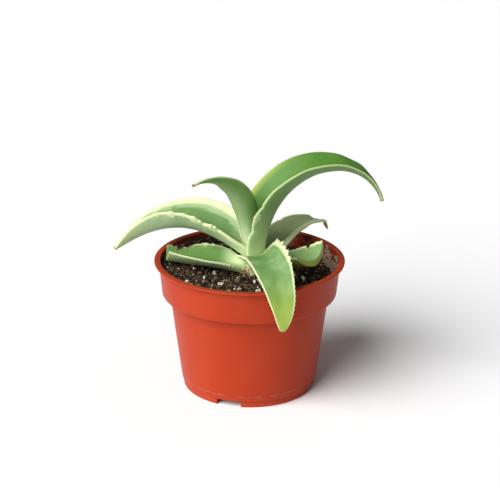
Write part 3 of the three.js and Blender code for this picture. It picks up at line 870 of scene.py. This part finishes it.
def cutter_round(radius, height, centre, turn):
    bm = bmesh.new()
    bmesh.ops.create_cone(bm, cap_ends=True, segments=DRAIN_SEGMENTS, radius1=radius * MM,
                          radius2=radius * MM, depth=height * MM)
    bmesh.ops.transform(bm, matrix=turned_place(centre, turn), verts=bm.verts)
    return bm


def cut_with(piece, cutters):
    """Takes every cutter out of the piece."""
    joined = bmesh.new()
    for bm in cutters:
        part = bpy.data.meshes.new("cutter_part")
        bm.to_mesh(part)
        joined.from_mesh(part)
        bm.free()
        bpy.data.meshes.remove(part)
    tool_mesh = bpy.data.meshes.new("cutter")
    joined.to_mesh(tool_mesh)
    joined.free()
    tool = bpy.data.objects.new("cutter", tool_mesh)
    bpy.context.scene.collection.objects.link(tool)
    modifier = piece.modifiers.new("cut", "BOOLEAN")
    modifier.object = tool
    modifier.operation = "DIFFERENCE"
    modifier.solver = "EXACT"
    bpy.context.view_layer.update()
    finished = piece.evaluated_get(bpy.context.evaluated_depsgraph_get())
    made = bpy.data.meshes.new_from_object(finished)
    piece.modifiers.clear()
    piece.data = made
    bpy.data.objects.remove(tool)
    bpy.data.meshes.remove(tool_mesh)
    if len(made.polygons) == 0:
        raise RuntimeError("the pot was lost while its notches were cut")


class AGAVE_OT_pot(bpy.types.Operator):
    """Make the nursery pot with its lip, band, ledge, foot notches and drain holes"""
    bl_idname = "agave.pot"
    bl_label = "Nursery pot"

    def execute(self, context):
        settings = context.scene.agave_pot
        wall = settings.wall / MM
        profile = closely_spaced(pot_profile(wall, settings.lip / MM), PROFILE_STEP)
        mesh = spun_mesh("nursery_pot", profile[::-1], POT_SEGMENTS)
        face_outwards(mesh)
        pot = place_object("nursery_pot", mesh, [plastic_material(settings)], "pot_plastic", "pot")
        notch_size = (3 * FOOT_RING, NOTCH_WIDTH, 2 * (FOOT_HEIGHT - NOTCH_ROOF))
        notch_reach = FOOT_RADIUS - FOOT_RING / 2
        drain_reach = FOOT_RADIUS - FOOT_RING - DRAIN_INSET - DRAIN_RADIUS
        cutters = []
        for i in range(NOTCH_COUNT):
            turn = math.radians(NOTCH_TURN + i * 360 / NOTCH_COUNT)
            cutters.append(cutter_box(notch_size, (notch_reach, 0, 0), turn))
            cutters.append(cutter_round(DRAIN_RADIUS, 4 * BASE_THICKNESS, (drain_reach, 0, FLOOR_Z), turn))
        cut_with(pot, cutters)
        mesh = pot.data
        give(mesh, "inside", self.inner_band(points_of(mesh), wall))
        for polygon in mesh.polygons:
            polygon.use_smooth = True
        mesh.set_sharp_from_angle(angle=math.radians(SHARP_ANGLE))
        return {"FINISHED"}

    @staticmethod
    def inner_band(points, wall):
        """1 on the band's inner wall and 0 elsewhere."""
        reach = np.hypot(points[:, 0], points[:, 1])
        z = points[:, 2]
        down = np.clip((POT_HEIGHT - z) / BAND_HEIGHT, 0, 1)
        wall_middle = BAND_TOP - BAND_TAPER * down - wall / 2
        return (reach < wall_middle) & (z > LEDGE_Z + wall / 2) & (z < POT_HEIGHT - 0.6)


# ---- leaves, stem and roots ----

class AGAVE_OT_leaves(bpy.types.Operator):
    """Make every leaf, with toothed cream margins, dried tips and cut ends"""
    bl_idname = "agave.leaves"
    bl_label = "Leaves"

    def execute(self, context):
        settings = context.scene.agave_leaves
        living = leaf_material("leaf", settings)
        # a copy of the leaf finish with painted shade, for the back right leaf
        shaded = leaf_material("leaf_in_shade", settings, 0.5)
        flesh = cut_material(settings)
        dead = grained_material("dead_leaf", 0.85, 1.5, 6.0, settings.dry, STRAW, 0.3)
        for i, (node, leaf) in enumerate(leaf_table().items()):
            name = node + "_blade"
            mesh = leaf_mesh(name, leaf, settings, SEED + 31 * i)
            if leaf.get("dead"):
                place_object(name, mesh, [dead, dead], "dead_leaf", node)
            elif node == "back_right_leaf":
                place_object(name, mesh, [shaded, shaded], "leaf_shaded", node)
            else:
                end = flesh if leaf.get("cut") else living
                place_object(name, mesh, [living, end], "leaf", node)
        return {"FINISHED"}


class AGAVE_OT_stem_and_roots(bpy.types.Operator):
    """Give the stem and the roots inside the mix their finish"""
    bl_idname = "agave.stem_and_roots"
    bl_label = "Stem and roots"

    def execute(self, context):
        settings = context.scene.agave_leaves
        finish = grained_material("stem", 0.7, 2, 5.0, settings.pale, settings.green, 0.3)
        self.dress("stem", finish, "stem")
        finish = grained_material("root", 0.85, 1.5, 6.0, ROOT_LIGHT, ROOT_DARK, 0.4)
        for node in nodes_named("root_"):
            self.dress(node, finish, "root")
        return {"FINISHED"}

    @staticmethod
    def dress(node, finish, slot):
        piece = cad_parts[node]
        piece.data.materials.clear()
        piece.data.materials.append(finish)


# ---- potting mix and what lies on it ----

FULL_TURN = 6.28  # in radians, for pieces that lie any way round
CRUST_LUMPS = 3000
CRUST_LOW = POT_HEIGHT - 20
CRUST_HIGH = POT_HEIGHT - 1.2
PALE_CRUST_TURN = 0.05  # the heading of the pale dirt's middle, in radians, and its half width
PALE_CRUST_HALF = 0.62
PALE_CRUST_RISE = 19  # how far above the mix the dirt reaches
DARK_CRUST_RISE = 4.5
CHIPS = 150
MOSS_TUFTS = 70
FIBRE_STEPS = 8


def mix_height(x, y):
    """The height of the mix's surface: it lies lower on the right and has gentle lumps."""
    lumps = np.sin(x / 7 + 1) * np.cos(y / 9) + np.sin((x + y) / 5) / 2
    return MIX_CENTRE_Z + MIX_SLOPE_X * x + MIX_SLOPE_Y * y + MIX_LUMP * lumps


def inner_wall(z):
    """The pot's inside radius at a height in the band or below it."""
    band = BAND_TOP - BAND_TAPER * np.clip((POT_HEIGHT - z) / BAND_HEIGHT, 0, 1) - WALL
    body = BODY_TOP - BODY_TAPER * (LEDGE_Z - z) / (LEDGE_Z - FOOT_HEIGHT) - WALL
    return np.where(z > LEDGE_Z + WALL, band, body)


def rough_ground(x, y):
    """The roughness on top of the mix's own height, from coarse to fine."""
    p = np.stack([x, y], -1)
    return 0.9 * grain(p, 4.2, 3) + 0.7 * grain(p, 1.9, 4) + 0.3 * grain(p, 0.8, 5)


def unit_lump(detail):
    """The points and faces of a ball of radius 1."""
    bm = bmesh.new()
    bmesh.ops.create_icosphere(bm, subdivisions=detail, radius=1.0)
    points = np.array([v.co for v in bm.verts])
    faces = np.array([[v.index for v in f.verts] for f in bm.faces])
    bm.free()
    return points, faces


def turned_by(angles):
    """A turn about X, then Y, then Z, as one 3 by 3 table."""
    return np.array(Matrix.Rotation(angles[2], 3, "Z") @ Matrix.Rotation(angles[1], 3, "Y")
                    @ Matrix.Rotation(angles[0], 3, "X"))


def heap_mesh(name, lumps, detail, roughness):
    """One mesh of many small rough lumps. Each lump is (centre, half sizes, turn, shade)."""
    unit, faces = unit_lump(detail)
    all_points, all_faces, shades = [], [], []
    for k, (centre, sizes, angles, shade) in enumerate(lumps):
        bulge = 1 + roughness * grain(unit + (k * 3.7, k * 1.3, 0), 0.75, 11)
        points = (unit * bulge[:, None] * sizes) @ turned_by(angles).T + centre
        all_faces.append(faces + len(unit) * k)
        all_points.append(points)
        shades.append(np.full(len(unit), shade))
    mesh = new_mesh(name, np.vstack(all_points), np.vstack(all_faces).tolist())
    give(mesh, "shade", np.concatenate(shades))
    return mesh


def random_spot(rng, radius):
    """A random place within radius of the pot's axis."""
    turn = rng.uniform(0, 2 * np.pi)
    out = radius * math.sqrt(rng.uniform(0.004, 1))
    return out * math.cos(turn), out * math.sin(turn)


def ground(x, y):
    """The height of the rough surface at one place."""
    x, y = np.atleast_1d(x), np.atleast_1d(y)
    return float((mix_height(x, y) + rough_ground(x, y))[0])


class AGAVE_OT_potting_mix(bpy.types.Operator):
    """Fill the pot with potting mix, with crumbs and fibres over its top"""
    bl_idname = "agave.potting_mix"
    bl_label = "Potting mix"

    def execute(self, context):
        settings = context.scene.agave_mix
        finish = crumb_material("potting_mix", settings.peat, settings.peat_light, 0.95, 1.6, 0.5)
        place_object("mix_body", self.body(), [finish], "potting_mix", "potting_mix")
        rng = np.random.default_rng(SEED)
        crumbs = self.crumbs(rng, settings.crumbs, settings.crumb_size / MM)
        heaps = (
            ("mix_crumbs", heap_mesh("mix_crumbs", crumbs, 1, 0.5), finish),
            ("mix_moss", heap_mesh("mix_moss", self.moss(rng), 1, 0.6),
             crumb_material("moss", *MOSS, 0.95, 0.6)),
            ("wall_crust", heap_mesh("wall_crust", self.crust(rng), 1, 0.5),
             crumb_material("dried_dirt", *DRIED_DIRT, 0.95, 0.6)),
            ("mix_fibres", self.fibres(rng, settings.fibres), crumb_material("fibre", *FIBRE, 0.9)),
        )
        for name, mesh, dressing in heaps:
            link_piece(name, mesh, [dressing])
        return {"FINISHED"}

    @staticmethod
    def crumbs(rng, count, size):
        lumps = []
        for _ in range(count):
            x, y = random_spot(rng, MIX_EDGE - 1.8)
            own = size * rng.lognormal(-0.25, 0.45) / 2
            sizes = own * rng.uniform(0.6, 1.2, 3)
            shade = (0.02, 0.12, 0.4, 0.95)
            lumps.append(((x, y, ground(x, y) + 0.25 * own), sizes, rng.uniform(0, FULL_TURN, 3),
                          rng.choice(shade, p=(0.42, 0.28, 0.2, 0.1))))
        return lumps

    @staticmethod
    def moss(rng):
        """Tufts of moss on the front left of the mix."""
        lumps = []
        for _ in range(MOSS_TUFTS):
            turn, out = rng.normal(-2.2, 0.5), rng.uniform(22, 60)
            x, y = out * math.cos(turn), out * math.sin(turn)
            lumps.append(((x, y, ground(x, y) + 0.5), rng.uniform(0.3, 0.9, 3), (0, 0, 0),
                          rng.uniform(0, 1)))
        return lumps

    @staticmethod
    def crust(rng):
        """Dirt dried on the inner wall: pale on the right, where the mix has sunk, and dark elsewhere."""
        lumps = []
        near = MIX_EDGE - 2
        while len(lumps) < CRUST_LUMPS:
            near_right = len(lumps) % 3 > 0
            turn = rng.uniform(-0.55, 0.65) if near_right else rng.uniform(-np.pi, np.pi)
            z = rng.uniform(CRUST_LOW, CRUST_HIGH)
            x, y = math.cos(turn), math.sin(turn)
            above = z - float(mix_height(x * near, y * near))
            pale = abs(turn - PALE_CRUST_TURN) < PALE_CRUST_HALF
            reach = PALE_CRUST_RISE if pale else DARK_CRUST_RISE
            if above < -0.5 or above > reach * rng.uniform(0.15, 1) ** 1.3:
                continue
            if pale and grain([[turn * near, z]], 3.5, 21)[0] < -0.35 + 0.03 * above:
                continue
            out = float(inner_wall(np.array(z))) - 0.05
            size = rng.uniform(0.25, 1.1) if pale else rng.uniform(0.2, 0.65)
            shade = rng.uniform(0.4, 1) if pale else rng.uniform(0, 0.25)
            lumps.append(((x * out, y * out, z), (size, size, size * 0.8), (0, 0, turn), shade))
        return lumps

    @staticmethod
    def body():
        """The whole filling of the pot, with its rough top."""
        rings, segments, rounding = 150, 300, 2.6
        shoulder = LEDGE_Z - 0.2
        low, high = inner_wall(np.array([MIX_BOTTOM, shoulder])) - MIX_GAP
        above_ledge = LEDGE_Z + 2
        profile = [(0, MIX_BOTTOM), (low - rounding, MIX_BOTTOM), (low, MIX_BOTTOM + rounding),
                   (high, shoulder), (high, above_ledge), (BAND_FOOT - WALL - MIX_GAP, above_ledge)]
        top = BAND_FOOT - WALL + 0.7
        profile += [(top * k / rings, POT_HEIGHT) for k in range(rings, 0, -1)] + [(0, POT_HEIGHT)]
        mesh = spun_mesh("mix_body", profile, segments)
        co = points_of(mesh)
        upper = co[:, 2] > POT_HEIGHT - 0.01
        x, y = co[upper, 0], co[upper, 1]
        co[upper, 2] = mix_height(x, y) + rough_ground(x, y)
        mesh.vertices.foreach_set("co", (co * MM).ravel())
        give(mesh, "shade", np.clip(0.12 + 0.5 * grain(co, 2.2, 9), 0, 1))
        face_outwards(mesh)
        mesh.shade_smooth()
        return mesh

    @staticmethod
    def fibres(rng, count):
        """Thin bent threads with square sections, lying on the mix."""
        points, faces = [], []
        end = MIX_EDGE - 2.5
        for _ in range(count):
            x, y = random_spot(rng, MIX_EDGE - 6)
            turn, bend = rng.uniform(0, FULL_TURN), rng.uniform(-0.9, 0.9)
            length, thin = rng.uniform(3, 10), rng.uniform(0.09, 0.2)
            side = np.array([-math.sin(turn), math.cos(turn), 0.0])
            for k in range(FIBRE_STEPS + 1):
                t = k / FIBRE_STEPS
                x2 = x + length * t * math.cos(turn + bend * t)
                y2 = y + length * t * math.sin(turn + bend * t)
                reach = math.hypot(x2, y2)
                if reach > end:
                    x2, y2 = x2 * end / reach, y2 * end / reach
                z2 = ground(x2, y2) + 0.35 + 0.8 * math.sin(math.pi * t)
                wide = thin * (1 - 0.5 * t)
                base = len(points)
                for c, s in ((1, 0), (0, 1), (-1, 0), (0, -1)):
                    points.append(np.array([x2, y2, z2 + s * wide]) + side * c * wide)
                if k:
                    for q in range(4):
                        r = (q + 1) % 4
                        faces.append((base - 4 + q, base + q, base + r, base - 4 + r))
                if k in (0, FIBRE_STEPS):
                    ring = (base, base + 1, base + 2, base + 3)
                    faces.append(ring if k == 0 else ring[::-1])
        mesh = new_mesh("mix_fibres", points, faces)
        give(mesh, "shade", rng.uniform(0.3, 1, len(points)))
        face_outwards(mesh)
        return mesh


def named_lumps(prefix, rng, swell, shade_low):
    """One lump for each named grain or chip, where the frame has it."""
    lumps, nodes = [], nodes_named(prefix)
    for node in nodes:
        low, high = (np.array(c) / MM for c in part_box(node))
        centre = (low + high) / 2
        half = (high - low) / 2 * swell
        lumps.append((centre, half, (0, 0, 0), rng.uniform(shade_low, 1)))
    return lumps, nodes


class AGAVE_OT_perlite(bpy.types.Operator):
    """Scatter the white perlite grains"""
    bl_idname = "agave.perlite"
    bl_label = "Perlite"

    def execute(self, context):
        settings = context.scene.agave_mix
        rng = np.random.default_rng(SEED + 1)
        lumps, nodes = named_lumps("perlite_", rng, 1.02, 0.7)
        for _ in range(settings.grains):
            x, y = random_spot(rng, MIX_EDGE - 3)
            half = min(rng.lognormal(-0.62, 0.55), 1.7)
            sizes = half * rng.uniform(0.7, 1.1, 3)
            lumps.append(((x, y, ground(x, y) + 0.3 * half), sizes, rng.uniform(0, FULL_TURN, 3),
                          rng.uniform(0.15, 1)))
        mesh = heap_mesh("perlite_grains", lumps, 2, 0.75)
        dusty = tuple(c * d for c, d in zip(settings.perlite, PERLITE_DUST))
        finish = crumb_material("perlite", dusty, settings.perlite, 0.9, 0.8, 0.25)
        place_object("perlite_grains", mesh, [finish], "perlite", *nodes)
        return {"FINISHED"}


class AGAVE_OT_bark(bpy.types.Operator):
    """Scatter the chips of bark"""
    bl_idname = "agave.bark"
    bl_label = "Bark"

    def execute(self, context):
        settings = context.scene.agave_mix
        rng = np.random.default_rng(SEED + 2)
        lumps, nodes = named_lumps("bark_chip_", rng, 1.0, 0.5)
        for _ in range(CHIPS):
            x, y = random_spot(rng, MIX_EDGE - 5)
            long = rng.uniform(0.9, 3.0)
            sizes = (long, long * rng.uniform(0.3, 0.6), long * rng.uniform(0.18, 0.35))
            turn = (rng.uniform(-0.5, 0.5), rng.uniform(-0.5, 0.5), rng.uniform(0, FULL_TURN))
            lumps.append(((x, y, ground(x, y) + 0.3), sizes, turn, rng.uniform(0.2, 1)))
        mesh = heap_mesh("bark_chips", lumps, 2, 0.35)
        finish = crumb_material("bark", BARK_DARK, settings.bark, 0.85, 0.9, 0.3)
        place_object("bark_chips", mesh, [finish], "bark", *nodes)
        return {"FINISHED"}


# ---- stage, in metres and degrees ----

FLOOR_HALF = 8
FLOOR_DROP = 0.0002
KEY_FROM = (-0.60, -0.54, 0.62)
CAMERA_TARGET = (0.0003, 0.0, 0.1129)
CAMERA_DISTANCE = 1.292
CAMERA_TILT = 20.66
CAMERA_LEAN = 0.298
CAMERA_LENS = 116.84
CAMERA_SENSOR = 36


class AGAVE_OT_stage(bpy.types.Operator):
    """Set the floor, the soft light and the camera"""
    bl_idname = "agave.stage"
    bl_label = "Stage"

    def execute(self, context):
        settings = context.scene.agave_stage
        scene = context.scene
        self.floor(settings)
        world = bpy.data.worlds.new("studio")
        scene.world = world
        world.use_nodes = True
        background = world.node_tree.nodes["Background"].inputs
        background["Color"].default_value = (1, 1, 1, 1)
        background["Strength"].default_value = settings.fill_strength
        self.soft_light("key", KEY_FROM, settings)
        scene.view_settings.view_transform = "Standard"
        camera = self.camera()
        scene.collection.objects.link(camera)
        scene.camera = camera
        return {"FINISHED"}

    @staticmethod
    def floor(settings):
        bm = bmesh.new()
        bmesh.ops.create_grid(bm, x_segments=2, y_segments=2, size=FLOOR_HALF)
        mesh = bpy.data.meshes.new("floor")
        bm.to_mesh(mesh)
        bm.free()
        mesh.materials.append(Nodes("floor", 0.9).surface(settings.floor))
        floor = bpy.data.objects.new("floor", mesh)
        floor.location.z = -FLOOR_DROP
        bpy.context.scene.collection.objects.link(floor)

    @staticmethod
    def soft_light(name, place, settings):
        data = bpy.data.lights.new(name, "SUN")
        data.energy = settings.key_power
        data.angle = settings.key_softness
        light = bpy.data.objects.new(name, data)
        light.location = place
        light.rotation_euler = (-Vector(place)).to_track_quat("-Z", "Y").to_euler()
        bpy.context.scene.collection.objects.link(light)

    @staticmethod
    def camera():
        tilt, lean = math.radians(CAMERA_TILT), math.radians(CAMERA_LEAN)
        back = Vector((0, -math.cos(tilt), math.sin(tilt)))
        level = Vector((1, 0, 0))
        upright = back.cross(level)
        right = level * math.cos(lean) + upright * math.sin(lean)
        up = upright * math.cos(lean) - level * math.sin(lean)
        data = bpy.data.cameras.new("camera")
        data.sensor_width = CAMERA_SENSOR
        data.lens = CAMERA_LENS
        data.clip_start = 0.05
        data.clip_end = 50
        camera = bpy.data.objects.new("camera", data)
        place = Matrix.Translation(Vector(CAMERA_TARGET) + back * CAMERA_DISTANCE)
        camera.matrix_world = place @ Matrix((right, up, back)).transposed().to_4x4()
        return camera


class AGAVE_PT_panel(bpy.types.Panel):
    """The agave's settings and the steps that make it"""
    bl_idname = "AGAVE_PT_panel"
    bl_label = "Potted agave"
    bl_space_type = "VIEW_3D"
    bl_region_type = "UI"
    bl_category = "Agave"

    def draw(self, context):
        for group in ("agave_leaves", "agave_pot", "agave_mix", "agave_stage"):
            settings = getattr(context.scene, group)
            box = self.layout.box()
            for key in settings.bl_rna.properties.keys():
                if key not in ("rna_type", "name"):
                    box.prop(settings, key)
        for operator in OPERATORS:
            self.layout.operator(operator.bl_idname)


SETTINGS = {
    "agave_leaves": AgaveLeafSettings,
    "agave_pot": AgavePotSettings,
    "agave_mix": AgaveMixSettings,
    "agave_stage": AgaveStageSettings,
}
OPERATORS = (
    AGAVE_OT_pot, AGAVE_OT_leaves, AGAVE_OT_stem_and_roots, AGAVE_OT_potting_mix,
    AGAVE_OT_perlite, AGAVE_OT_bark, AGAVE_OT_stage,
)


def register():
    for group in SETTINGS.values():
        bpy.utils.register_class(group)
    for operator in OPERATORS:
        bpy.utils.register_class(operator)
    bpy.utils.register_class(AGAVE_PT_panel)
    for name, group in SETTINGS.items():
        setattr(bpy.types.Scene, name, bpy.props.PointerProperty(type=group))


def unregister():
    for name in SETTINGS:
        delattr(bpy.types.Scene, name)
    bpy.utils.unregister_class(AGAVE_PT_panel)
    for operator in reversed(OPERATORS):
        bpy.utils.unregister_class(operator)
    for group in reversed(list(SETTINGS.values())):
        bpy.utils.unregister_class(group)


def main():
    register()
    bpy.ops.agave.pot()
    bpy.ops.agave.leaves()
    bpy.ops.agave.stem_and_roots()
    bpy.ops.agave.potting_mix()
    bpy.ops.agave.perlite()
    bpy.ops.agave.bark()
    bpy.ops.agave.stage()


if __name__ == "__main__":
    main()
